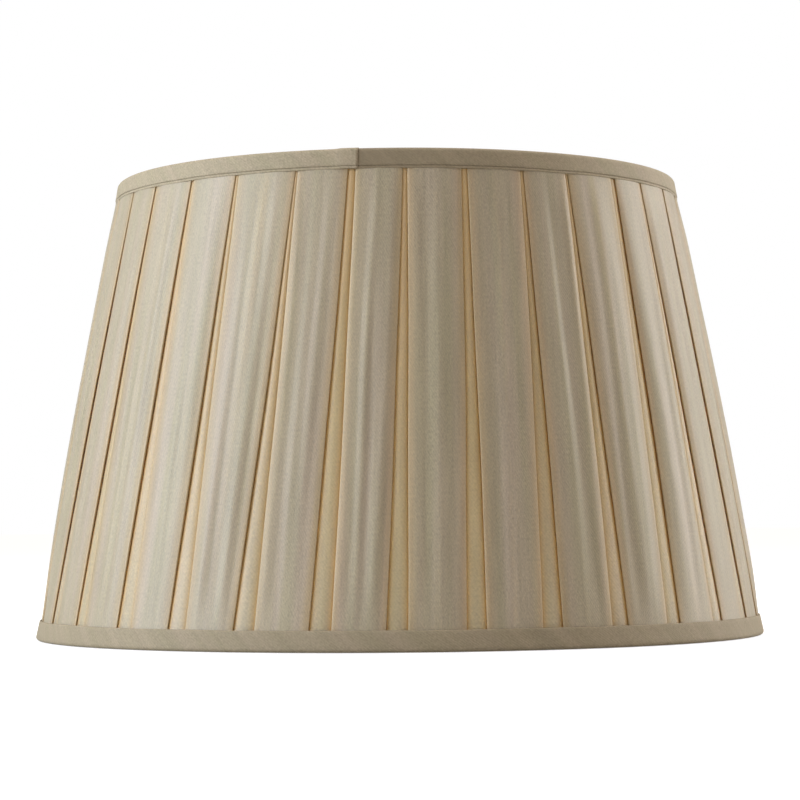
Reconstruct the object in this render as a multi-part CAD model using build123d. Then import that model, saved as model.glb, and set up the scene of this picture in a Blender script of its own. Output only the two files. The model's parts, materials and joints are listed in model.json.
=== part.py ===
"""A box-pleated, tapered drum lamp shade on a welded wire frame.

Two wire rings are held apart by eight struts. A cloth lining is stretched inside the frame and a
box-pleated cover outside it, each in two lengths, and a folded cloth binding closes each rim. A
gimbal turns on two lugs under the top ring. It carries the fitter, a pressed steel ring, and a
plastic reducer that drops into the fitter and takes the lamp holder.

Frame: millimetres, +Z up, origin on the shade's axis at the plane of its bottom rim. The gimbal
turns about the X direction. Every sub-part is written to parts/NODE.step.
"""

from build123d import *
import math
import os

# Overall size
BOTTOM_R = 200.0  # outside of the bottom binding
TOP_R = 155.0  # outside of the top binding
HEIGHT = 250.0
TAPER = (BOTTOM_R - TOP_R) / HEIGHT
SLANT = math.sqrt(1 + TAPER**2)  # length along the wall for each unit of height

# Layers of the wall, as horizontal depths in from the outer cone
BINDING_T = 0.6
PANEL_FACE = 0.7
VALLEY_FACE = 2.0
COVER_BACK = 2.5
RING_FACE = 2.6
RING_WIRE_R = 1.5
FRAME_DEPTH = RING_FACE + RING_WIRE_R * SLANT  # where the wires' middle lies
LINING_FACE = FRAME_DEPTH + RING_WIRE_R * SLANT + 0.1
LINING_T = 0.4
BINDING_BACK = LINING_FACE + LINING_T + 0.1 + BINDING_T

# Wire frame
RING_INSET = 2.2  # height of each ring's middle above or below its rim
STRUT_WIRE_R = 1.2
STRUT_COUNT = 8
FIRST_STRUT = 22.5

# Pleats
PLEAT_COUNT = 32
PLEAT_STEP = 360 / PLEAT_COUNT
PANEL_W = 26.6  # the same from rim to rim, so the valleys between panels widen downwards
FIRST_VALLEY = -0.4  # direction of the first valley's middle at the bottom rim
LEAN = 1.9  # how far round the pleats' heads stand from their feet
CLOTH_INSET = 2.4  # height of the cover's and lining's cut edges inside the bindings

# Bindings
LEG_OUT = 10.5
LEG_IN = 10.0
LIP_W = 1.3  # the thin under-fold that shows below the top binding
LIP_FACE = 0.25
CORNER_R = 2.0

# Gimbal and its lugs
SHEET_T = 1.8
LUG_W = 10.0
LUG_X = 143.2  # inner face of a lug's hanging leg
LUG_TOP = 246.8
LUG_REACH = 152.0
LUG_BEND_R = 1.0
SLIT_GAP = 0.3
PIVOT_Z = 239.4
ARM_WIRE_R = 1.5
PIVOT_HOLE_R = 1.58
ARM_TIP_X = 147.0
ARM_KNEE_X = 135.0
ARM_HEEL_X = 42.0
ARM_END_X = 23.5
ARM_BEND_R = 10.0
ARM_BITE = 0.3  # how deep the arm's end is let into the fitter
CAP_R = 3.4
CAP_X = 145.3
CAP_T = 2.6
CAP_EDGE = 0.8

# Fitter and reducer
FITTER_TOP = 205.0
FITTER_T = 1.6
FITTER_R = 29.0
FITTER_BORE_R = 21.0
COLLAR_T = 1.2
COLLAR_DROP = 4.0
REDUCER_T = 1.8
REDUCER_R = 24.5
REDUCER_BORE_R = 14.5
REDUCER_SPIGOT_R = 20.6
REDUCER_SPIGOT_T = 1.6
REDUCER_SPIGOT_DROP = 3.2
PART_GAP = 0.05  # between parts that rest on each other but move apart
FILLET_SMALL = 0.5


def wall_r(z, depth=0.0):
    """Radius at height z of the cone that lies at this depth inside the outer one."""
    return BOTTOM_R - TAPER * z - depth


def polar(r, degrees, z):
    a = math.radians(degrees)
    return Vector(r * math.cos(a), r * math.sin(a), z)


def ring_height(top):
    return HEIGHT - RING_INSET if top else RING_INSET


def wire_ring(top):
    z = ring_height(top)
    return Pos(0, 0, z) * Torus(wall_r(z, FRAME_DEPTH), RING_WIRE_R)


def strut(index, rings):
    """A straight wire between the rings, with its ends shaped to sit on them."""
    direction = FIRST_STRUT + index * 360 / STRUT_COUNT
    low, high = (
        polar(wall_r(z, FRAME_DEPTH), direction, z)
        for z in (ring_height(False), ring_height(True))
    )
    wire = Plane(origin=low, z_dir=high - low) * Cylinder(
        STRUT_WIRE_R, (high - low).length, align=(Align.CENTER, Align.CENTER, Align.MIN)
    )
    for ring in rings:
        wire = largest(wire - ring)
    return wire


def largest(shape):
    return max(shape.solids(), key=lambda solid: solid.volume)


def cone_band(outer_depth, inner_depth, low, high):
    """A ring of the wall between two depths and two heights."""
    with BuildPart() as band:
        with BuildSketch(Plane.XZ):
            with BuildLine():
                Polyline(
                    (wall_r(low, outer_depth), low),
                    (wall_r(high, outer_depth), high),
                    (wall_r(high, inner_depth), high),
                    (wall_r(low, inner_depth), low),
                    close=True,
                )
            make_face()
        revolve(axis=Axis.Z)
    return band.part.solid()


def half_space(direction):
    """A block on one side of a plane through the axis, for cutting a ring in two."""
    side = 2 * BOTTOM_R + 20
    block = Box(side, side, 2 * HEIGHT, align=(Align.CENTER, Align.MIN, Align.CENTER))
    return Rot(0, 0, direction) * block


def lug_slit(side):
    """The slit in the inner cloth that a lug passes through."""
    width = LUG_W + 2 * SLIT_GAP
    height = SHEET_T + 2 * SLIT_GAP
    reach = LUG_REACH - LUG_X
    centre = Pos(side * (LUG_REACH - reach / 2), 0, LUG_TOP - SHEET_T / 2)
    return centre * Box(reach + 2 * SLIT_GAP, width, height)


def lining():
    """Two lengths of cloth inside the frame, joined at two opposite struts."""
    band = cone_band(LINING_FACE, LINING_FACE + LINING_T, CLOTH_INSET, HEIGHT - CLOTH_INSET)
    band = band - lug_slit(1) - lug_slit(-1)
    block = half_space(FIRST_STRUT)
    return largest(band - block), largest(band & block)


def pleat_outline(z, first):
    """Outer edge of half the cover at height z: a valley, then a raised panel, sixteen times."""
    share = (z - CLOTH_INSET) / (HEIGHT - 2 * CLOTH_INSET)
    valley_r, panel_r = wall_r(z, VALLEY_FACE), wall_r(z, PANEL_FACE)
    half_panel = math.degrees(math.asin(PANEL_W / 2 / panel_r))
    half_valley = PLEAT_STEP / 2 - half_panel
    points = []
    for pleat in range(first, first + PLEAT_COUNT // 2):
        middle = FIRST_VALLEY + LEAN * share + pleat * PLEAT_STEP
        points += [
            polar(valley_r, middle - half_valley, z),
            polar(valley_r, middle + half_valley, z),
            polar(panel_r, middle + half_valley, z),
            polar(panel_r, middle + PLEAT_STEP - half_valley, z),
        ]
    return points


def cover_face(z, first):
    """Cross-section of half the cover: the pleated outer edge and a plain arc behind it."""
    outer = pleat_outline(z, first)
    back_r = wall_r(z, COVER_BACK)
    start, end = (math.degrees(math.atan2(p.Y, p.X)) for p in (outer[0], outer[-1]))
    near, far = polar(back_r, start, z), polar(back_r, end, z)
    middle = polar(back_r, start + (end - start) % 360 / 2, z)
    edges = [Line(a, b) for a, b in zip(outer, outer[1:])]
    edges += [Line(outer[-1], far), ThreePointArc(far, middle, near), Line(near, outer[0])]
    return make_face(Wire(edges))


def cover(first):
    """Half the pleated cover, as one closed solid from rim to rim."""
    faces = [cover_face(z, first) for z in (CLOTH_INSET, HEIGHT - CLOTH_INSET)]
    return loft(faces, ruled=True).solid()


def binding(top):
    """A folded cloth tape that wraps the rim from the cover round the ring to the lining."""
    sign, rim = (-1, HEIGHT) if top else (1, 0)

    def at(depth, rise):
        z = rim + sign * rise
        return wall_r(z, depth), z

    def corner(middle_depth, radius, start, end, diagonal):
        shift = radius * math.sqrt(0.5)
        return ThreePointArc(
            at(*start), at(middle_depth + diagonal * shift, CORNER_R - shift), at(*end)
        )

    outer_mid, inner_mid = CORNER_R, BINDING_BACK - CORNER_R
    tight = CORNER_R - BINDING_T
    with BuildPart() as tape:
        with BuildSketch(Plane.XZ):
            with BuildLine():
                if top:
                    leg = LEG_OUT - LIP_W
                    Polyline(
                        at(BINDING_T, LEG_OUT), at(LIP_FACE, LEG_OUT), at(LIP_FACE, leg), at(0, leg)
                    )
                    Line(at(0, leg), at(0, CORNER_R))
                else:
                    Polyline(at(BINDING_T, LEG_OUT), at(0, LEG_OUT), at(0, CORNER_R))
                corner(outer_mid, CORNER_R, (0, CORNER_R), (CORNER_R, 0), -1)
                Line(at(outer_mid, 0), at(inner_mid, 0))
                corner(inner_mid, CORNER_R, (inner_mid, 0), (BINDING_BACK, CORNER_R), 1)
                Polyline(
                    at(BINDING_BACK, CORNER_R),
                    at(BINDING_BACK, LEG_IN),
                    at(BINDING_BACK - BINDING_T, LEG_IN),
                    at(BINDING_BACK - BINDING_T, CORNER_R),
                )
                corner(
                    inner_mid, tight, (BINDING_BACK - BINDING_T, CORNER_R), (inner_mid, BINDING_T), 1
                )
                Line(at(inner_mid, BINDING_T), at(outer_mid, BINDING_T))
                corner(outer_mid, tight, (outer_mid, BINDING_T), (BINDING_T, CORNER_R), -1)
                Line(at(BINDING_T, CORNER_R), at(BINDING_T, LEG_OUT))
            make_face()
        revolve(axis=Axis.Z)
    tape = tape.part
    if top:
        tape = tape - lug_slit(1) - lug_slit(-1)
    return largest(tape)


def lug(side, top_ring):
    """A bent strip brazed under the top ring, with a hole for the gimbal arm's tip."""
    with BuildPart() as strip:
        with BuildSketch(Plane.XZ.offset(-LUG_W / 2)):
            with BuildLine():
                Polyline(
                    (LUG_REACH, LUG_TOP),
                    (LUG_X, LUG_TOP),
                    (LUG_X, PIVOT_Z - LUG_W / 2),
                    (LUG_X + SHEET_T, PIVOT_Z - LUG_W / 2),
                    (LUG_X + SHEET_T, LUG_TOP - SHEET_T),
                    (LUG_REACH, LUG_TOP - SHEET_T),
                    close=True,
                )
            make_face()
        extrude(amount=LUG_W)
        along = strip.edges().filter_by(Axis.Y)
        inner = along.sort_by_distance((LUG_X + SHEET_T, 0, LUG_TOP - SHEET_T))[0]
        outer = along.sort_by_distance((LUG_X, 0, LUG_TOP))[0]
        fillet(inner, LUG_BEND_R)
        fillet(outer, LUG_BEND_R + SHEET_T)
        lowest = strip.edges().filter_by(Axis.X).group_by(Axis.Z)[0]
        fillet(lowest, LUG_W / 2 - 0.01)
        with Locations(Pos(LUG_X, 0, PIVOT_Z) * Rot(0, 90, 0)):
            Cylinder(PIVOT_HOLE_R, 4 * SHEET_T, mode=Mode.SUBTRACT)
    shape = strip.part if side > 0 else Rot(0, 0, 180) * strip.part
    return largest(shape - top_ring)


def fitter():
    """A flat steel ring with a short collar turned down round its bore."""
    low = FITTER_TOP - FITTER_T
    with BuildPart() as ring:
        with BuildSketch(Plane.XZ):
            with BuildLine():
                Polyline(
                    (FITTER_BORE_R, FITTER_TOP),
                    (FITTER_R, FITTER_TOP),
                    (FITTER_R, low),
                    (FITTER_BORE_R + COLLAR_T, low),
                    (FITTER_BORE_R + COLLAR_T, FITTER_TOP - COLLAR_DROP),
                    (FITTER_BORE_R, FITTER_TOP - COLLAR_DROP),
                    close=True,
                )
            make_face()
        revolve(axis=Axis.Z)
        rim = ring.edges().filter_by(GeomType.CIRCLE).sort_by(SortBy.RADIUS)[-2:]
        fillet(rim, FILLET_SMALL)
    return ring.part.solid()


def gimbal_arm(side, ring):
    """A bent wire from a lug down to the fitter, where its end is let into the flange."""
    end_z = FITTER_TOP - FITTER_T - ARM_WIRE_R + ARM_BITE
    with BuildPart() as wire:
        with BuildLine() as path:
            FilletPolyline(
                (ARM_TIP_X, 0, PIVOT_Z),
                (ARM_KNEE_X, 0, PIVOT_Z),
                (ARM_HEEL_X, 0, end_z),
                (ARM_END_X, 0, end_z),
                radius=ARM_BEND_R,
            )
        with BuildSketch(path.line ^ 0):
            Circle(ARM_WIRE_R)
        sweep(path=path.line)
    shape = wire.part if side > 0 else Rot(0, 0, 180) * wire.part
    return largest(shape - ring)


def pivot_cap(side):
    """A push-on cap that keeps the arm's tip from pulling out of its lug."""
    with BuildPart() as cap:
        with Locations(Pos(CAP_X, 0, PIVOT_Z) * Rot(0, 90, 0)):
            Cylinder(CAP_R, CAP_T, align=(Align.CENTER, Align.CENTER, Align.MIN))
        fillet(cap.edges().filter_by(GeomType.CIRCLE).sort_by(Axis.X)[-1], CAP_EDGE)
        with Locations(Pos(CAP_X, 0, PIVOT_Z) * Rot(0, 90, 0)):
            Cylinder(
                ARM_WIRE_R,
                ARM_TIP_X - CAP_X,
                align=(Align.CENTER, Align.CENTER, Align.MIN),
                mode=Mode.SUBTRACT,
            )
    shape = cap.part if side > 0 else Rot(0, 0, 180) * cap.part
    return shape.solid()


def reducer():
    """A plastic ring that rests on the fitter and narrows its bore for a small lamp holder."""
    low = FITTER_TOP + PART_GAP
    spigot_low = low - REDUCER_SPIGOT_DROP
    with BuildPart() as ring:
        with BuildSketch(Plane.XZ):
            with BuildLine():
                Polyline(
                    (REDUCER_BORE_R, low + REDUCER_T),
                    (REDUCER_R, low + REDUCER_T),
                    (REDUCER_R, low),
                    (REDUCER_SPIGOT_R, low),
                    (REDUCER_SPIGOT_R, spigot_low),
                    (REDUCER_SPIGOT_R - REDUCER_SPIGOT_T, spigot_low),
                    (REDUCER_SPIGOT_R - REDUCER_SPIGOT_T, low),
                    (REDUCER_BORE_R, low),
                    close=True,
                )
            make_face()
        revolve(axis=Axis.Z)
        rim = ring.edges().filter_by(GeomType.CIRCLE).sort_by(SortBy.RADIUS)[-2:]
        fillet(rim, FILLET_SMALL)
    return ring.part.solid()


def save(node, shape):
    shape.label = node
    export_step(shape, f"parts/{node}.step")


def main():
    os.makedirs("parts", exist_ok=True)
    top_ring, bottom_ring = wire_ring(True), wire_ring(False)
    save("top_ring", top_ring)
    save("bottom_ring", bottom_ring)
    for index in range(STRUT_COUNT):
        save(f"strut_{index + 1}", strut(index, (top_ring, bottom_ring)))

    lining_front, lining_back = lining()
    save("lining_front", lining_front)
    save("lining_back", lining_back)
    save("cover_back", cover(0))
    save("cover_front", cover(PLEAT_COUNT // 2))
    save("top_binding", binding(True))
    save("bottom_binding", binding(False))

    fitter_ring = fitter()
    save("fitter_ring", fitter_ring)
    save("reducer_ring", reducer())
    for name, side in (("right", 1), ("left", -1)):
        save(f"pivot_lug_{name}", lug(side, top_ring))
        save(f"gimbal_arm_{name}", gimbal_arm(side, fitter_ring))
        save(f"pivot_cap_{name}", pivot_cap(side))


main()
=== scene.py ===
"""Looks of a box-pleated, tapered drum lamp shade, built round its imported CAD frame.

The cloth is made here: the pleated cover and the lining, each in two lengths, and the folded tapes
that bind the rims. The wire frame, the gimbal, its fitter and the reducer are the CAD nodes, with
better materials. Shapes are worked out in millimetres in the row frame and stored in metres.
"""

import json
import math

import bpy
import numpy as np
from mathutils import Matrix, Vector


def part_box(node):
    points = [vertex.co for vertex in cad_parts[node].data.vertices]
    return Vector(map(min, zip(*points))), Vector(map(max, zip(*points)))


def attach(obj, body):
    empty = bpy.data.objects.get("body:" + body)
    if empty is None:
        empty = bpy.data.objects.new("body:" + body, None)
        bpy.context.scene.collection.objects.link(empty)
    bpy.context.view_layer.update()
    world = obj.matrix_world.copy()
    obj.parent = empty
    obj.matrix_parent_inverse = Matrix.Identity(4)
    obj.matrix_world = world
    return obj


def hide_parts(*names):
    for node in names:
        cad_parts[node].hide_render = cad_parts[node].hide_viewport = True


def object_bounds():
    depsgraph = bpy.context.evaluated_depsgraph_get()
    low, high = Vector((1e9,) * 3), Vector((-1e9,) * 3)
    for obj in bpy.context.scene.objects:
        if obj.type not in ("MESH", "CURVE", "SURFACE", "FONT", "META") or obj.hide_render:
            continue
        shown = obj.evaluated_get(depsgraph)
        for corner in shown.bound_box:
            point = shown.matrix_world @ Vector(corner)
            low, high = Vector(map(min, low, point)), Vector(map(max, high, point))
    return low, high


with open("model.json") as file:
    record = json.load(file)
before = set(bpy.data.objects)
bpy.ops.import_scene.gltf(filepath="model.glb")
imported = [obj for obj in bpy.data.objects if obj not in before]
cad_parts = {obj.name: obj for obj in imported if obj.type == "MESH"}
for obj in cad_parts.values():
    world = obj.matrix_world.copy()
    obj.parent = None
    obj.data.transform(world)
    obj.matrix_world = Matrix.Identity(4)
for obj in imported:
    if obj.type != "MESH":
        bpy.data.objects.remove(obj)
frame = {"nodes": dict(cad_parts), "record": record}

CAD_BOX = [list(corner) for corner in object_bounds()]
MM = 0.001
TURN = 2 * math.pi


def millimetres(corner):
    return [value / MM for value in corner]


def ring_middle(node):
    """Radius and height of the middle of a frame ring's wire."""
    low, high = (millimetres(corner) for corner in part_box(node))
    wire_r = (high[2] - low[2]) / 2
    return high[0] - wire_r, (low[2] + high[2]) / 2


# The wall, measured from the CAD frame
BOTTOM_RING_R, BOTTOM_RING_Z = ring_middle("bottom_ring")
TOP_RING_R, TOP_RING_Z = ring_middle("top_ring")
HEIGHT = CAD_BOX[1][2] / MM
FRAME_DEPTH = 4.12  # from the outside of the bindings in to the middle of the rings' wire
CLOTH_LOW, CLOTH_HIGH = (corner[2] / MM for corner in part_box("cover_front"))

# Pleats
PLEATS = 32
STEP = TURN / PLEATS
FIRST_VALLEY = math.radians(-0.4)  # direction of the first valley's foot
LEAN = math.radians(1.9)  # how far round the valleys' heads stand from their feet
DRIFT = math.radians(2.3)  # and how far they crowd towards the front
FOOT_SPREAD = math.radians(0.18)
HEAD_SPREAD = math.radians(0.7)
FOOT_W, FOOT_W_SPREAD = 11.6, 0.4  # width of a valley at the bottom rim
HEAD_W, HEAD_W_SPREAD = 3.0, 0.9  # and at the top rim
HEAD_W_LEAST, HEAD_W_MOST = 1.2, 4.4
RETURN_W = 12.7  # how far the cloth is tucked in under each edge of a panel
EDGE_WOBBLE = 0.2  # how far a panel's edge strays from straight
WOBBLES = 1.4  # and how often between the rims

# Columns of points in a panel, in each part of a fold and in a panel's rolled edge; rows in all
PANEL_COLUMNS, FOLD_COLUMNS, EDGE_COLUMNS, ROWS = 23, 5, 6, 37

# Cloth. A depth is that of its middle, in from the outside of the bindings, at the rims.
CLOTH_T = 0.26
PANEL_DEPTH = 1.15  # of the panels' faces
RETURN_DEPTH = 1.6  # of the cloth tucked in under a panel
BASE_DEPTH = 2.3  # of the valleys' floors
LINING_DEPTH = 5.95
PANEL_BOW = 1.7  # how much further out than at the rims each of these stands at half height
RETURN_BOW = 1.2
BASE_BOW = 0.35
LINING_BOW = -1.0
LINING_JOIN = math.radians(22.5)  # direction of the first seam between the lining's lengths
LINING_COLUMNS = 145
PUCKERS_ROUND = 7, 16, 29, 50  # how many slight waves the lining has round the shade
PUCKER_H = 0.05, 0.12  # least and most
PANEL_CROWN = 0.45  # how much further out a panel's middle stands than its edges
EDGE_ROLL = 1.0  # how much deeper a panel's edges lie than its middle, where they roll under
EDGE_LIFT = 0.1, 0.55  # least and most that a panel's edge stands off the cloth below
VALLEY_CROWN = 0.7, 1.3  # least and most that the middle of a valley's floor comes forward
CROWN_AT_RIMS, ROLL_AT_RIMS, VALLEY_AT_RIMS = 0.3, 0.15, 0.55  # shares of these at the rims
CLEAR = 0.06  # least gap between one layer and the next
FOLD = 0.4  # least depth of the fold at a panel's edge, from the middle of one layer to the next

# Ripples in a panel
RIDGES = 6
RIDGE_SPAN = 22.0  # width of the part of a panel that they stand in
RIDGE_W = 2.1, 3.4  # least and most
RIDGE_H = 0.2, 0.6

# Painted shade by how deep in a fold the cloth lies: 0 on its face, 1 in a valley, 2 in the dark
TUCKED_SHADE = 2.0
VALLEY_SIDE_SHADE_FOOT, VALLEY_SIDE_SHADE_HEAD = 0.65, 1.0
VALLEY_MIDDLE_SHADE_HEAD = 0.65
VALLEY_CORNER_SHADE = 0.9  # painted shade that the corner under a panel's edge has besides
# Painted shade at a panel's edges and on the rolled folds beneath them
PANEL_EDGE_SHADE, ROLLED_EDGE_SHADE = 0.6, 0.4
PRESSED_HIGHLIGHT = 0.35  # how much of a pressed edge's painted highlight a panel has beside it

# Bindings. A rise is measured from the rim towards the middle of the wall.
TAPE_T = 0.32
TAPE_DEPTH = 0.2  # of the middle of its outer leg
TAPE_BACK = 6.65  # and of its inner leg
LEG_OUT, LEG_BACK = 10.5, 9.8  # how far each leg reaches from the rim
RIM_R = 1.8  # radius of the fold over the rim
RIM_RISE = 2.0  # where it meets the legs
HEM_R, HEM_W = 0.21, 5.0  # the turned-in edges
LIP_W, LIP_STEP = 1.3, 0.3  # the second fold that shows below the top tape
FLARE = 0.8  # how far the bottom tape swings out at the foot
TAPE_COLUMNS = 721
WAVES_ROUND = 5, 9, 14, 23, 41  # how many slight waves its outer edge has round the rim
WAVE_H = 0.03, 0.07  # least and most
WAVE_RISE = 6.0  # how far up from the rim's fold they reach their full height
OVERLAP = 9.0  # how much of the tape's end lies over its beginning
OVERLAP_RISE = 1.1 * TAPE_T
STEP_UP = 0.6 * OVERLAP  # in what length it climbs onto it
TOP_JOIN = math.radians(-97)  # direction in which the top tape's end shows
BOTTOM_JOIN = TOP_JOIN + 2.6
FADE = 70.0  # over what length the painted shade at the tape's beginning fades
TOP_PAINTED_SHADE, BOTTOM_PAINTED_SHADE = 0.05, 0.35  # how much painted shade the rest has, 0 to 1


def wall_radius(z, depth):
    """Distance from the shade's axis at this height and this deep in the wall."""
    share = (z - BOTTOM_RING_Z) / (TOP_RING_Z - BOTTOM_RING_Z)
    return BOTTOM_RING_R + (TOP_RING_R - BOTTOM_RING_R) * share + FRAME_DEPTH - depth


def wall_points(angle, z, depth):
    """Points of the wall at these angles, heights and depths, which are arrays of one shape."""
    r = wall_radius(z, depth)
    return np.stack([r * np.cos(angle), r * np.sin(angle), z + np.zeros_like(r)], axis=-1)


# ---------------------------------------------------------------- meshes


def grid_piece(name, points, cloth, crease_highlight=0.0):
    """A sheet through a grid of points, in rows and columns. cloth holds each point's place on the
    flat cloth, in millimetres, and how much painted shade it has, such as deep in a fold; the last
    argument, how much painted highlight it has beside a pressed edge."""
    rows, columns = points.shape[:2]
    corner = np.arange(rows * columns).reshape(rows, columns)
    quads = np.stack([corner[:-1, :-1], corner[:-1, 1:], corner[1:, 1:], corner[1:, :-1]], axis=-1)
    mesh = bpy.data.meshes.new(name)
    mesh.from_pydata((points.reshape(-1, 3) * MM).tolist(), [], quads.reshape(-1, 4).tolist())
    mesh.attributes.new("cloth", "FLOAT_VECTOR", "POINT").data.foreach_set(
        "vector", cloth.astype(np.float32).ravel()
    )
    mesh.attributes.new("crease_highlight", "FLOAT", "POINT").data.foreach_set(
        "value", np.broadcast_to(crease_highlight, points.shape[:2]).astype(np.float32).ravel()
    )
    mesh.polygons.foreach_set("use_smooth", np.ones(len(mesh.polygons), bool))
    piece = bpy.data.objects.new(name, mesh)
    bpy.context.scene.collection.objects.link(piece)
    return piece


def dress(piece, thickness, material, node):
    """Gives a sheet its real thickness, half to each side, and its cloth, and lets it stand for a
    CAD node of the shade."""
    modifier = piece.modifiers.new("thickness", "SOLIDIFY")
    modifier.thickness = thickness * MM
    modifier.offset = 0
    piece.data.materials.append(material)
    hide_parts(node)
    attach(piece, "shade")


def lengths_along(points):
    """Distance along each row of points from its first one."""
    steps = np.linalg.norm(np.diff(points, axis=-2), axis=-1)
    return np.concatenate([np.zeros(steps.shape[:-1] + (1,)), np.cumsum(steps, axis=-1)], axis=-1)


# ---------------------------------------------------------------- pleated cover


def between(foot, head, t):
    """A value that goes from its foot to its head over the height."""
    return foot + (head - foot) * t


class Valleys:
    """Where the valleys between the panels run. Each is laid by hand, so no two are alike."""

    def __init__(self, rng):
        regular = FIRST_VALLEY + STEP * np.arange(PLEATS)
        self.foot = regular + rng.normal(0, FOOT_SPREAD, PLEATS)
        self.head = regular + LEAN - DRIFT * np.cos(regular) + rng.normal(0, HEAD_SPREAD, PLEATS)
        self.foot_w = rng.normal(FOOT_W, FOOT_W_SPREAD, PLEATS)
        self.head_w = rng.normal(HEAD_W, HEAD_W_SPREAD, PLEATS).clip(HEAD_W_LEAST, HEAD_W_MOST)
        self.lift = rng.uniform(*EDGE_LIFT, (PLEATS, 2))
        self.wobble = rng.uniform(0, TURN, (PLEATS, 2))
        self.crown = rng.uniform(*VALLEY_CROWN, PLEATS)

    def middle(self, number, t):
        """Direction of a valley's middle at share t of the height."""
        turns, index = divmod(number, PLEATS)
        return between(self.foot[index], self.head[index], t) + TURN * turns

    def edge(self, number, side, t, radius):
        """Direction of the panel's edge to the right (side 1) or left (side 0) of a valley."""
        index = number % PLEATS
        width = between(self.foot_w[index], self.head_w[index], t)
        sway = EDGE_WOBBLE * np.sin(TURN * t * WOBBLES + self.wobble[index, side])
        sign = 1 if side else -1
        return self.middle(number, t) + sign * (width / 2 + sway * np.sin(math.pi * t)) / radius


def bulge(t):
    """0 at both rims and 1 at half height."""
    return 4 * t * (1 - t)


def swelling(at_rims, t):
    """1 at half height, and this share of it at both rims."""
    return at_rims + (1 - at_rims) * bulge(t)


def soft_least(first, second, blend=0.15):
    """The lesser of two depths, rounded off where they are within about a blend of each other."""
    return -blend * np.logaddexp(-first / blend, -second / blend)


def edge_roll(t):
    """How much deeper a panel's edge lies than the panel beside it."""
    return EDGE_ROLL * swelling(ROLL_AT_RIMS, t)


def edge_depth(t):
    """Depth of a panel's edge where nothing lifts it."""
    return PANEL_DEPTH + edge_roll(t) - PANEL_BOW * bulge(t)


def ripples(rng, across, t):
    """How far a panel stands proud in the soft ridges and dips that the folds below press in it."""
    height = np.zeros(np.broadcast(across, t).shape)
    slack = rng.uniform(0.7, 1.3)
    regular = np.linspace(-RIDGE_SPAN / 2, RIDGE_SPAN / 2, RIDGES)
    for place in regular + rng.normal(0, 1.5, RIDGES):
        width = rng.uniform(*RIDGE_W)
        size = slack * rng.choice((-1, 1)) * rng.uniform(*RIDGE_H)
        path = place + rng.normal(0, 1.2) * t
        path = path + rng.uniform(0, 1.0) * np.sin(TURN * (t + rng.random()))
        swell = 1 + 0.5 * np.sin(TURN * (rng.uniform(0.4, 1.2) * t + rng.random()))
        height += size * swell * np.exp(-(((across - path) / width) ** 2))
    near_rims = 12 * (t - 0.03) * (0.97 - t)
    return height * np.clip(near_rims, 0.1, 1)


def return_depth(share, t):
    """Depth of the cloth tucked in under a panel: share is 0 at its far fold and 1 at the panel's
    edge."""
    back = RETURN_DEPTH - RETURN_BOW * bulge(t)
    return back + (edge_depth(t) + FOLD - back) * share**2


def tucked_side(valleys, number, side, t, radius):
    """The cloth from the middle of a valley in under the panel beside it and out again to the
    panel's edge, as (direction, depth, painted shade, painted highlight) columns. side 1 is the
    panel to the right."""
    into = 1 if side else -1
    lift = valleys.lift[number % PLEATS, side] * np.sin(math.pi * t)
    middle = valleys.middle(number, t)
    edge = valleys.edge(number, side, t, radius)
    inner = edge + into * RETURN_W / radius
    base = BASE_DEPTH - BASE_BOW * bulge(t)
    back = return_depth(0.0, t)
    face = edge_depth(t) - lift
    shares = np.linspace(0, 1, FOLD_COLUMNS)
    columns = []
    crown = valleys.crown[number % PLEATS] * swelling(VALLEY_AT_RIMS, t)
    for u in shares:
        # Painted shade on the valley's floor, more at its sides, towards the top and in the corner
        fold = between(VALLEY_SIDE_SHADE_FOOT, VALLEY_SIDE_SHADE_HEAD, t) * u**2
        fold = fold + VALLEY_MIDDLE_SHADE_HEAD * t * (1 - u**2) + VALLEY_CORNER_SHADE * u**5
        columns.append((middle + (edge - middle) * u, base - crown * (1 - u**2), fold, 0.0))
    # Painted shade: the cloth tucked in under the panel gets the darkest
    for u in shares[1:]:
        columns.append((edge + (inner - edge) * u, base, TUCKED_SHADE, 0.0))
    bend = (base - back) / 2
    for a in math.pi * shares[1:]:
        turned = inner + into * bend * math.sin(a) / radius
        columns.append((turned, back + bend * (1 + math.cos(a)), TUCKED_SHADE, 0.0))
    for u in shares[1:]:
        columns.append((inner + (edge - inner) * u, return_depth(u, t), TUCKED_SHADE, 0.0))
    bend = (return_depth(1.0, t) - face) / 2
    # The rolled edge: painted shade that fades towards its outer fold, where a painted highlight
    # grows
    for share in np.linspace(0, 1, EDGE_COLUMNS)[1:]:
        a = math.pi * share
        turned = edge - into * bend * math.sin(a) / radius
        fold = TUCKED_SHADE * (1 - share) ** 2 + ROLLED_EDGE_SHADE * share
        columns.append((turned, face + bend * (1 + math.cos(a)), fold, share))
    return columns


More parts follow.
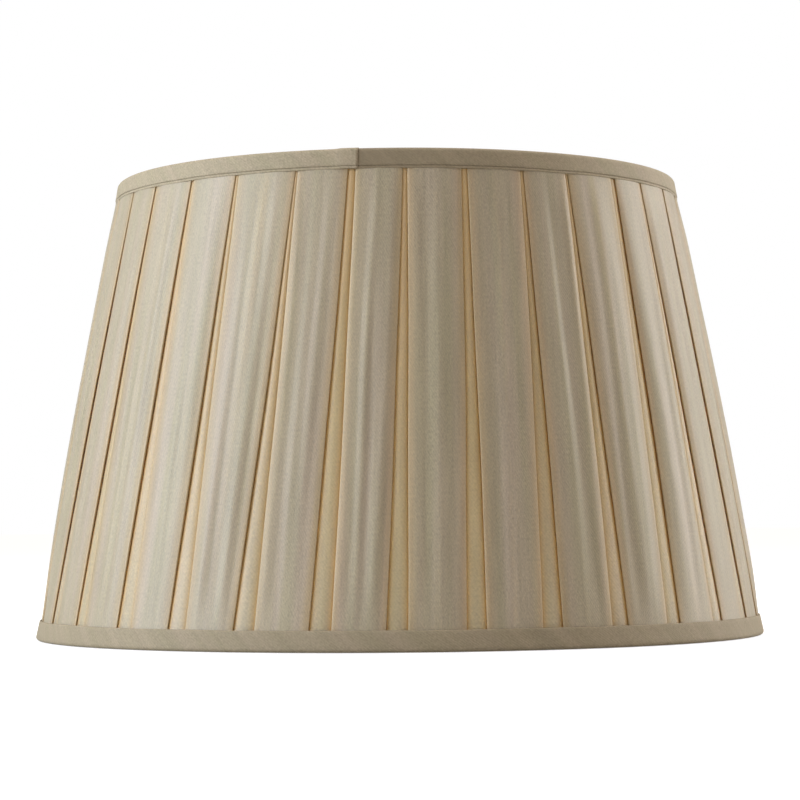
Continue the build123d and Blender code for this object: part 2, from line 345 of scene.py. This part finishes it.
def panel(valleys, number, t, radius, rng):
    """The cloth of the panel to the right of a valley, between its two pressed edges."""
    left = valleys.edge(number, 1, t, radius)
    right = valleys.edge(number + 1, 0, t, radius)
    lifts = valleys.lift[number % PLEATS, 1], valleys.lift[(number + 1) % PLEATS, 0]
    width = (right - left) * radius
    shares = np.linspace(0, 1, PANEL_COLUMNS)[1:-1]
    bands = ripples(rng, (shares[:, None] - 0.5) * width, t)
    columns = []
    for u, band in zip(shares, bands):
        edge = abs(2 * u - 1)  # 0 at the panel's middle and 1 at its edges
        lift = (lifts[0] * (1 - u) ** 3 + lifts[1] * u**3) * np.sin(math.pi * t)
        depth = PANEL_DEPTH + edge_roll(t) * edge**3 - PANEL_BOW * bulge(t)
        crown = PANEL_CROWN * (1 - edge**2) * swelling(CROWN_AT_RIMS, t)
        depth = depth - lift - crown - band * (1 - edge**8)
        from_edge = min(u, 1 - u)
        inside = np.clip(1 - from_edge * width / RETURN_W, 0, 1)
        depth = soft_least(depth, return_depth(inside, t) - CLOTH_T - CLEAR)
        # A painted highlight beside each pressed edge, and painted shade at the panel's edges
        crease_highlight = PRESSED_HIGHLIGHT * max(0.0, 1 - from_edge * PANEL_COLUMNS / 1.5)
        columns.append((left + (right - left) * u, depth, PANEL_EDGE_SHADE * edge**6, crease_highlight))
    return columns


def cover_length(name, node, first, valleys, material, rng):
    """One length of the cover, folded into half the pleats, from the middle of a valley at one
    end to the middle of a valley at the other."""
    t = np.linspace(0, 1, ROWS)
    z = CLOTH_LOW + (CLOTH_HIGH - CLOTH_LOW) * t
    radius = wall_radius(z, PANEL_DEPTH)
    columns = []
    for number in range(first, first + PLEATS // 2):
        right_side = tucked_side(valleys, number + 1, 0, t, radius)
        pleat = tucked_side(valleys, number, 1, t, radius)
        pleat += panel(valleys, number, t, radius, rng) + right_side[::-1]
        columns += pleat if not columns else pleat[1:]
    angle, depth, fold, crease_highlight = (
        np.stack([np.broadcast_to(column[item], t.shape) for column in columns], axis=1)
        for item in range(4)
    )
    z = np.broadcast_to(z[:, None], angle.shape)
    points = wall_points(angle, z, depth)
    along = np.broadcast_to(lengths_along(points[ROWS // 2]), angle.shape)
    piece = grid_piece(name, points, np.stack([along, z, fold], axis=-1), crease_highlight)
    dress(piece, CLOTH_T, material, node)


# ---------------------------------------------------------------- bindings


def arc(depth, rise, radius, start, end, steps=6):
    """Points of an arc in the tape's section. Angles are in degrees: 0 is towards the lamp, and 90
    out over the rim."""
    turned = np.radians(np.linspace(start, end, steps))
    return [(depth + radius * math.cos(a), rise - radius * math.sin(a)) for a in turned]


def tape_section(lip):
    """Depth and rise of the middle of a tape folded over the rim, from one turned-in edge to the
    other. lip is how much of its outer leg, at the edge, is a second fold that shows from under
    the first."""
    leg = LEG_OUT
    face = TAPE_DEPTH + (LIP_STEP if lip else 0.0)
    section = [(face + 2 * HEM_R, leg - HEM_R - HEM_W)]
    section += arc(face + HEM_R, leg - HEM_R, HEM_R, 0, -180)
    if lip:
        leg -= lip
        section += [(face, leg + 0.3), (face + 0.25, leg + 0.05), (face + 0.25, leg - 0.3)]
        section += [(TAPE_DEPTH + 0.08, leg - 0.12), (TAPE_DEPTH, leg - 0.4)]
    flat = leg - HEM_R - RIM_RISE
    section += [(TAPE_DEPTH, RIM_RISE + flat * u) for u in (0.8, 0.6, 0.4, 0.2)]
    section += arc(TAPE_DEPTH + RIM_R, RIM_RISE, RIM_R, 180, 90)
    section += arc(TAPE_BACK - RIM_R, RIM_RISE, RIM_R, 90, 0)
    section += [(TAPE_BACK, RIM_RISE + (LEG_BACK - RIM_RISE) * u) for u in (0.33, 0.66)]
    section += arc(TAPE_BACK - HEM_R, LEG_BACK - HEM_R, HEM_R, 0, -180)
    section += [(TAPE_BACK - 2 * HEM_R, LEG_BACK - HEM_R - HEM_W)]
    return np.array(section)


def tape(name, node, top, end, tone, material, rng):
    """A tape cut on the bias and folded over a rim, with its end laid over its beginning. tone is
    how much painted shade it has all round; where it begins it is painted darker still."""
    section = tape_section(LIP_W if top else 0.0)
    rim_r = wall_radius(HEIGHT if top else 0.0, 0)
    overlap, step_up = OVERLAP / rim_r, STEP_UP / rim_r
    start = end - overlap
    angle = start + np.linspace(0, TURN + overlap, TAPE_COLUMNS)
    climbed = (angle - start - TURN + step_up) / step_up
    over = OVERLAP_RISE * np.clip(climbed, 0, 1) ** 2
    depth, rise = section[:, :1], section[:, 1:]
    outer = np.clip((rise - RIM_RISE) / WAVE_RISE, 0, 1) * (depth < FRAME_DEPTH)
    wave = sum(
        rng.uniform(*WAVE_H) * np.sin(n * (angle - start) + rng.uniform(0, TURN))
        for n in WAVES_ROUND
    )
    side = np.where(depth < FRAME_DEPTH, -1.0, 1.0) * np.clip(np.abs(depth - FRAME_DEPTH), 0, 1)
    lift = np.clip(1 - rise / RIM_RISE, 0, 1)
    flare = 0.0 if top else FLARE * (1 - 0.5 * np.clip(rise / LEG_OUT, 0, 1)) * (side < 0)
    deep = depth + side * over + outer * wave - flare
    high = rise - lift * over + 0.8 * outer * np.roll(wave, 60)
    z = HEIGHT - high if top else high
    points = wall_points(angle + np.zeros_like(z), z, deep)
    if not top:
        points = points[::-1]
    across = lengths_along(points.transpose(1, 0, 2))[0][:, None] + np.zeros_like(z)
    round_it = (angle - start) * rim_r + np.zeros_like(z)
    on_bias = (round_it + across) / math.sqrt(2), (across - round_it) / math.sqrt(2)
    # Painted shade: darker where the tape begins, fading round the rim to its tone
    dark = tone + (1 - tone) * np.exp(-round_it / FADE)
    piece = grid_piece(name, points, np.stack([*on_bias, dark], axis=-1))
    dress(piece, TAPE_T, material, node)


# ---------------------------------------------------------------- lining


def stretch(piece, pinned, shrink, frames):
    """Lets a cloth sheet pull itself taut between its pinned points, and keeps the shape."""
    group = piece.vertex_groups.new(name="pinned")
    group.add(pinned, 1.0, "REPLACE")
    cloth = piece.modifiers.new("cloth", "CLOTH")
    cloth.settings.vertex_group_mass = group.name
    cloth.settings.quality = 8
    cloth.settings.mass = 0.1
    cloth.settings.tension_stiffness = cloth.settings.compression_stiffness = 20
    cloth.settings.bending_stiffness = 0.3
    cloth.settings.air_damping = 5
    cloth.settings.shrink_min = cloth.settings.shrink_max = shrink
    cloth.point_cache.frame_end = frames
    for number in range(1, frames + 1):
        bpy.context.scene.frame_set(number)
    settled = piece.evaluated_get(bpy.context.evaluated_depsgraph_get()).to_mesh()
    places = np.empty(3 * len(settled.vertices), np.float32)
    settled.vertices.foreach_get("co", places)
    piece.to_mesh_clear()
    piece.modifiers.remove(cloth)
    piece.vertex_groups.remove(group)
    bpy.context.scene.frame_set(1)
    piece.data.vertices.foreach_set("co", places)
    piece.data.update()


def lining_length(name, node, start, material, rng):
    """Half the lining, pulled taut between the rings, so that it draws in at half height."""
    t = np.linspace(0, 1, ROWS)[:, None]
    angle = start + np.linspace(0, TURN / 2, LINING_COLUMNS)[None, :] + np.zeros_like(t)
    z = CLOTH_LOW + (CLOTH_HIGH - CLOTH_LOW) * t + np.zeros_like(angle)
    pucker = sum(
        rng.uniform(*PUCKER_H) * np.sin(n * angle + rng.uniform(0, TURN)) for n in PUCKERS_ROUND
    )
    points = wall_points(angle, z, LINING_DEPTH - LINING_BOW * bulge(t) + pucker * bulge(t))
    along = lengths_along(points[ROWS // 2])[None, :] + np.zeros_like(z)
    piece = grid_piece(name, points, np.stack([along, z, np.zeros_like(z)], axis=-1))
    number = np.arange(z.size).reshape(z.shape)
    held = np.concatenate([number[0], number[-1], number[1:-1, 0], number[1:-1, -1]])
    stretch(piece, held.tolist(), shrink=0.02, frames=20)
    dress(piece, CLOTH_T, material, node)
    return piece


# ---------------------------------------------------------------- materials


class Shader:
    """A material's nodes. A value given to one is linked if it is a socket, or else set."""

    def __init__(self, name):
        self.material = bpy.data.materials.new(name)
        self.material.use_nodes = True
        self.tree = self.material.node_tree
        self.surface = self.tree.nodes["Principled BSDF"]
        self.output = self.tree.nodes["Material Output"]

    def add(self, kind, values=(), **settings):
        node = self.tree.nodes.new(kind)
        for name, value in settings.items():
            setattr(node, name, value)
        for socket, value in dict(values).items():
            self.put(node.inputs[socket], value)
        return node

    def put(self, socket, value):
        if isinstance(value, bpy.types.NodeSocket):
            self.tree.links.new(value, socket)
        else:
            socket.default_value = value

    def set(self, **values):
        """Gives values to the Principled shader, such as base_color for its Base Color."""
        for name, value in values.items():
            socket = name.replace("_", " ").title().replace("Ior", "IOR")
            self.put(self.surface.inputs[socket], value)

    def math(self, operation, *values):
        return self.add("ShaderNodeMath", enumerate(values), operation=operation).outputs[0]

    def scaled(self, vector, factors):
        values = {0: vector, 1: factors}
        return self.add("ShaderNodeVectorMath", values, operation="MULTIPLY").outputs[0]

    def noise(self, vector, factors, detail=2.0):
        """Smooth noise from -1 to 1, with this many features each way per unit of length."""
        values = {"Vector": self.scaled(vector, factors), "Scale": 1.0, "Detail": detail}
        return self.spread(self.add("ShaderNodeTexNoise", values).outputs["Fac"], 0.3, 0.7)

    def spread(self, value, low, high):
        values = {"Value": value, "From Min": low, "From Max": high, "To Min": -1.0, "To Max": 1.0}
        return self.add("ShaderNodeMapRange", values).outputs["Result"]

    def wave(self, vector, direction, pitch):
        """A sine wave across the cloth, of this pitch in millimetres."""
        toward = Vector(direction).normalized() * TURN / pitch
        dot = self.add("ShaderNodeVectorMath", {0: vector, 1: toward}, operation="DOT_PRODUCT")
        return self.math("SINE", dot.outputs["Value"])

    def total(self, *pairs):
        """Weighted sum of (weight, value) pairs."""
        result = 0.0
        for weight, value in pairs:
            result = self.math("MULTIPLY_ADD", value, weight, result)
        return result

    def mix(self, factor, first, second):
        values = {"Factor": factor, 6: first, 7: second}
        return self.add("ShaderNodeMix", values, data_type="RGBA").outputs[2]

    def shaded(self, colour, factor):
        """The colour made lighter or darker by a factor round 0."""
        plain = colour if isinstance(colour, bpy.types.NodeSocket) else colour[:3]
        values = {0: plain, "Scale": self.math("ADD", factor, 1.0)}
        return self.add("ShaderNodeVectorMath", values, operation="SCALE").outputs[0]

    def bump(self, height, distance):
        values = {"Height": height, "Distance": distance, "Strength": 1.0}
        return self.add("ShaderNodeBump", values).outputs["Normal"]


def rgb(red, green, blue):
    """A colour given as it looks, from 0 to 255, as the linear colour that a shader takes."""
    looks = [value / 255 for value in (red, green, blue)]
    linear = [v / 12.92 if v <= 0.04045 else ((v + 0.055) / 1.055) ** 2.4 for v in looks]
    return (*linear, 1.0)


def cloth_shader(
    name, faces, glow, seen_through, sheen, gloss, rough, twill, deep=None, pocket=None, edge=None
):
    """A woven cloth. faces are the two colours that its face wavers between, and glow that of the
    light that comes through it, of which seen_through is the share. Where it has folds, deep is the
    painted shade down in them, pocket the darker painted shade inside them, and edge the painted
    highlight of a pressed fold."""
    shader = Shader(name)
    place = shader.add("ShaderNodeAttribute", attribute_name="cloth").outputs["Vector"]
    fold = shader.add("ShaderNodeSeparateXYZ", {0: place}).outputs["Z"]
    grain = shader.noise(place, (1.2, 0.7, 0))
    # band: soft streaks along the pleats, partly random tone of the cloth and partly painted sheen
    band = shader.noise(place, (0.15, 0.005, 0), detail=1.0)
    slub = shader.noise(place, (0.45, 0.02, 0))
    cloud = shader.noise(place, (0.03, 0.02, 0))
    weave = shader.wave(place, (1.0, twill, 0), 1.1)
    weft = shader.wave(place, (0.0, 1.0, 0), 0.45)
    fine = shader.math("MULTIPLY", grain, shader.math("MULTIPLY_ADD", fold, -0.6, 1.0))
    tone = shader.total((0.22, fine), (0.07, slub), (0.03, cloud), (0.045, weave), (0.07, band))
    colour = shader.mix(shader.math("MULTIPLY_ADD", band, 0.5, 0.5), *faces)
    # Painted shade: darker and warmer towards deep the deeper in a fold the cloth lies
    if deep:
        colour = shader.mix(fold, colour, deep)
    # Painted shade: darker still towards pocket inside the folds, on the light coming through too
    if pocket:
        inside = shader.math("SUBTRACT", fold, 1.0)
        colour = shader.mix(inside, colour, pocket)
        glow = shader.mix(inside, glow, deep)
    # A painted highlight along a pressed fold
    if edge:
        crease_highlight = shader.add("ShaderNodeAttribute", attribute_name="crease_highlight").outputs["Fac"]
        colour = shader.mix(shader.math("MULTIPLY", crease_highlight, 0.35), colour, edge)
    colour = shader.shaded(colour, tone)
    relief = shader.total((0.5, weave), (0.3, weft), (0.8, grain), (0.6, slub))
    normal = shader.bump(relief, 0.00002)
    rough_here = shader.math("MULTIPLY_ADD", grain, 0.05, rough)
    shader.set(base_color=colour, roughness=rough_here, normal=normal, specular_ior_level=gloss)
    shader.set(sheen_weight=sheen, sheen_roughness=0.4, sheen_tint=(1.0, 0.97, 0.92, 1.0))
    through = shader.add("ShaderNodeBsdfTranslucent", {"Color": glow, "Normal": normal})
    values = {0: seen_through, 1: shader.surface.outputs[0], 2: through.outputs[0]}
    mixed = shader.add("ShaderNodeMixShader", values)
    shader.put(shader.output.inputs["Surface"], mixed.outputs[0])
    return shader.material


def coated_steel(name, colour):
    """White powder coat on steel, with its fine orange peel and slightly uneven gloss."""
    shader = Shader(name)
    place = shader.add("ShaderNodeTexCoord").outputs["Object"]
    peel = shader.noise(place, (1100, 1100, 1100))
    patch = shader.noise(place, (60, 60, 60), detail=3.0)
    shader.set(base_color=shader.shaded(colour, shader.total((0.015, peel), (0.025, patch))))
    shader.set(roughness=shader.math("MULTIPLY_ADD", patch, 0.06, 0.42))
    shader.set(normal=shader.bump(peel, 0.00002), coat_weight=0.25, coat_roughness=0.3)
    return shader.material


def moulded_plastic(name, colour):
    """Off-white moulded plastic with a faint grain and flow marks."""
    shader = Shader(name)
    place = shader.add("ShaderNodeTexCoord").outputs["Object"]
    grain = shader.noise(place, (2500, 2500, 2500))
    flow = shader.noise(place, (90, 90, 25), detail=3.0)
    shader.set(base_color=shader.shaded(colour, shader.total((0.01, grain), (0.03, flow))))
    shader.set(roughness=shader.math("MULTIPLY_ADD", flow, 0.05, 0.38))
    shader.set(normal=shader.bump(grain, 0.00001), specular_ior_level=0.5)
    return shader.material


# ---------------------------------------------------------------- stage, in metres and watts

NEUTRAL = (1.0, 1.0, 1.0)
COOL = (0.92, 1.02, 1.15)
WARM = (1.0, 0.96, 0.86)
FILL_COLOUR = (1.0, 0.88, 0.81, 1.0)
WHITE = (1.0, 1.0, 1.0, 1.0)
FLOOR_DROP = 0.0003  # keeps the floor just below the bottom tape


def floor():
    """A plain white floor, far larger than the view. The camera sees it brighter than it lights
    the shade, as an overlit studio floor looks."""
    half = 15.0
    mesh = bpy.data.meshes.new("floor")
    corners = [(-half, -half, 0), (half, -half, 0), (half, half, 0), (-half, half, 0)]
    mesh.from_pydata(corners, [], [(0, 1, 2, 3)])
    plane = bpy.data.objects.new("floor", mesh)
    plane.location.z = -FLOOR_DROP
    bpy.context.scene.collection.objects.link(plane)
    shader = Shader("floor_white")
    shader.set(base_color=(0.5, 0.5, 0.5, 1.0), roughness=0.9, specular_ior_level=0.0)
    seen = shader.add("ShaderNodeLightPath").outputs["Is Camera Ray"]
    shader.set(emission_color=WHITE)
    shader.set(emission_strength=shader.math("MULTIPLY", seen, 0.7))
    mesh.materials.append(shader.material)


def soft_box(name, place, target, width, height, power, colour):
    light = bpy.data.lights.new(name, "AREA")
    light.color = colour
    light.shape, light.size, light.size_y, light.energy = "RECTANGLE", width, height, power
    lamp = bpy.data.objects.new(name, light)
    lamp.location = place
    lamp.rotation_euler = (Vector(target) - Vector(place)).to_track_quat("-Z", "Y").to_euler()
    bpy.context.scene.collection.objects.link(lamp)


def inner_glow(power, lit):
    """A weak lamp inside the shade, which the camera does not see. It lights only these pieces."""
    light = bpy.data.lights.new("inner_glow", "POINT")
    light.shadow_soft_size, light.energy = 0.05, power
    light.color = WARM
    lamp = bpy.data.objects.new("inner_glow", light)
    lamp.location = (0, 0, 0.12 * HEIGHT * MM)
    lamp.visible_camera = False
    receivers = bpy.data.collections.new("lit_from_inside")
    for piece in lit:
        receivers.objects.link(piece)
    lamp.light_linking.receiver_collection = receivers
    bpy.context.scene.collection.objects.link(lamp)


def surroundings(seen, fill):
    """A white studio. The camera sees it at one strength, and the fill light that it gives the
    shade is warmer and of another."""
    world = bpy.data.worlds.new("studio")
    world.use_nodes = True
    bpy.context.scene.world = world
    nodes, links = world.node_tree.nodes, world.node_tree.links
    path = nodes.new("ShaderNodeLightPath")
    strength = nodes.new("ShaderNodeMapRange")
    strength.inputs["To Min"].default_value = fill
    strength.inputs["To Max"].default_value = seen
    links.new(path.outputs["Is Camera Ray"], strength.inputs["Value"])
    colour = nodes.new("ShaderNodeMix")
    colour.data_type = "RGBA"
    colour.inputs[6].default_value = FILL_COLOUR
    colour.inputs[7].default_value = WHITE
    links.new(path.outputs["Is Camera Ray"], colour.inputs["Factor"])
    links.new(colour.outputs[2], nodes["Background"].inputs["Color"])
    links.new(strength.outputs["Result"], nodes["Background"].inputs["Strength"])


def camera():
    """A long lens a little above the bottom rim, tilted up and turned a hair off level."""
    lens = bpy.data.cameras.new("camera")
    lens.lens, lens.sensor_width = 115.5, 36.0
    lens.clip_start, lens.clip_end = 0.1, 100.0
    body = bpy.data.objects.new("camera", lens)
    pan = Matrix.Rotation(math.radians(-0.045), 4, "Z")
    tilt = Matrix.Rotation(math.radians(90 + 2.7), 4, "X")
    roll = Matrix.Rotation(math.radians(-0.5), 4, "Z")
    body.matrix_world = Matrix.Translation((0, -1.432, 0.063)) @ pan @ tilt @ roll
    bpy.context.scene.collection.objects.link(body)
    bpy.context.scene.camera = body


# ---------------------------------------------------------------- the scene

cover_cloth = cloth_shader(
    "cover_cloth",
    faces=(rgb(195, 187, 159), rgb(194, 181, 163)),
    # deep and pocket are painted shade in the folds, edge a painted highlight on pressed folds
    deep=rgb(206, 166, 106),
    pocket=rgb(176, 122, 64),
    edge=rgb(214, 200, 168),
    glow=rgb(224, 220, 190),
    seen_through=0.5,
    sheen=0.5,
    gloss=0.8,
    rough=0.48,
    twill=0.58,
)
binding_cloth = cloth_shader(
    "binding_cloth",
    faces=(rgb(180, 170, 141), rgb(178, 165, 141)),
    # deep is the tape's painted shade
    deep=rgb(140, 126, 101),
    glow=rgb(196, 178, 144),
    seen_through=0.35,
    sheen=0.05,
    gloss=0.45,
    rough=0.7,
    twill=0.2,
)
lining_cloth = cloth_shader(
    "lining_cloth",
    faces=(rgb(244, 237, 222), rgb(242, 235, 223)),
    glow=rgb(244, 238, 222),
    seen_through=0.58,
    sheen=0.1,
    gloss=0.3,
    rough=0.7,
    twill=0.0,
)
finishes = {
    "frame_wire": coated_steel("frame_wire_coat", rgb(222, 218, 208)),
    "fitter_steel": coated_steel("fitter_coat", rgb(224, 221, 212)),
    "white_plastic": moulded_plastic("reducer_plastic", rgb(230, 225, 212)),
}
for part in frame["record"]["subparts"]:
    if part["material_slot"] in finishes:
        data = frame["nodes"][part["node"]].data
        data.materials.clear()
        data.materials.append(finishes[part["material_slot"]])

surroundings(seen=1.0, fill=0.68)
floor()
soft_box("left_box", (-1.74, -0.5, 0.6), (0, 0, 0.12), 1.2, 1.8, 50, COOL)
soft_box("right_box", (1.67, 0.62, 0.6), (0, 0, 0.12), 1.2, 1.8, 37, NEUTRAL)
soft_box("top_box", (0, 0.2, 1.9), (0, 0, 0.1), 1.6, 1.6, 16, NEUTRAL)
camera()

# Not an arbitrary seed: picked out of 60,000 for where it puts the front's valleys
draws = np.random.default_rng(43567)
laid = Valleys(draws)
cover_length("cover_back_cloth", "cover_back", 0, laid, cover_cloth, draws)
cover_length("cover_front_cloth", "cover_front", PLEATS // 2, laid, cover_cloth, draws)
linings = [
    lining_length("lining_back_cloth", "lining_back", LINING_JOIN, lining_cloth, draws),
    lining_length("lining_front_cloth", "lining_front", LINING_JOIN + math.pi, lining_cloth, draws),
]
tape(
    "bottom_binding_tape", "bottom_binding", False, BOTTOM_JOIN, BOTTOM_PAINTED_SHADE, binding_cloth, draws
)
tape("top_binding_tape", "top_binding", True, TOP_JOIN, TOP_PAINTED_SHADE, binding_cloth, draws)
inner_glow(power=1.5, lit=linings)

bpy.context.scene.view_settings.view_transform = "Standard"
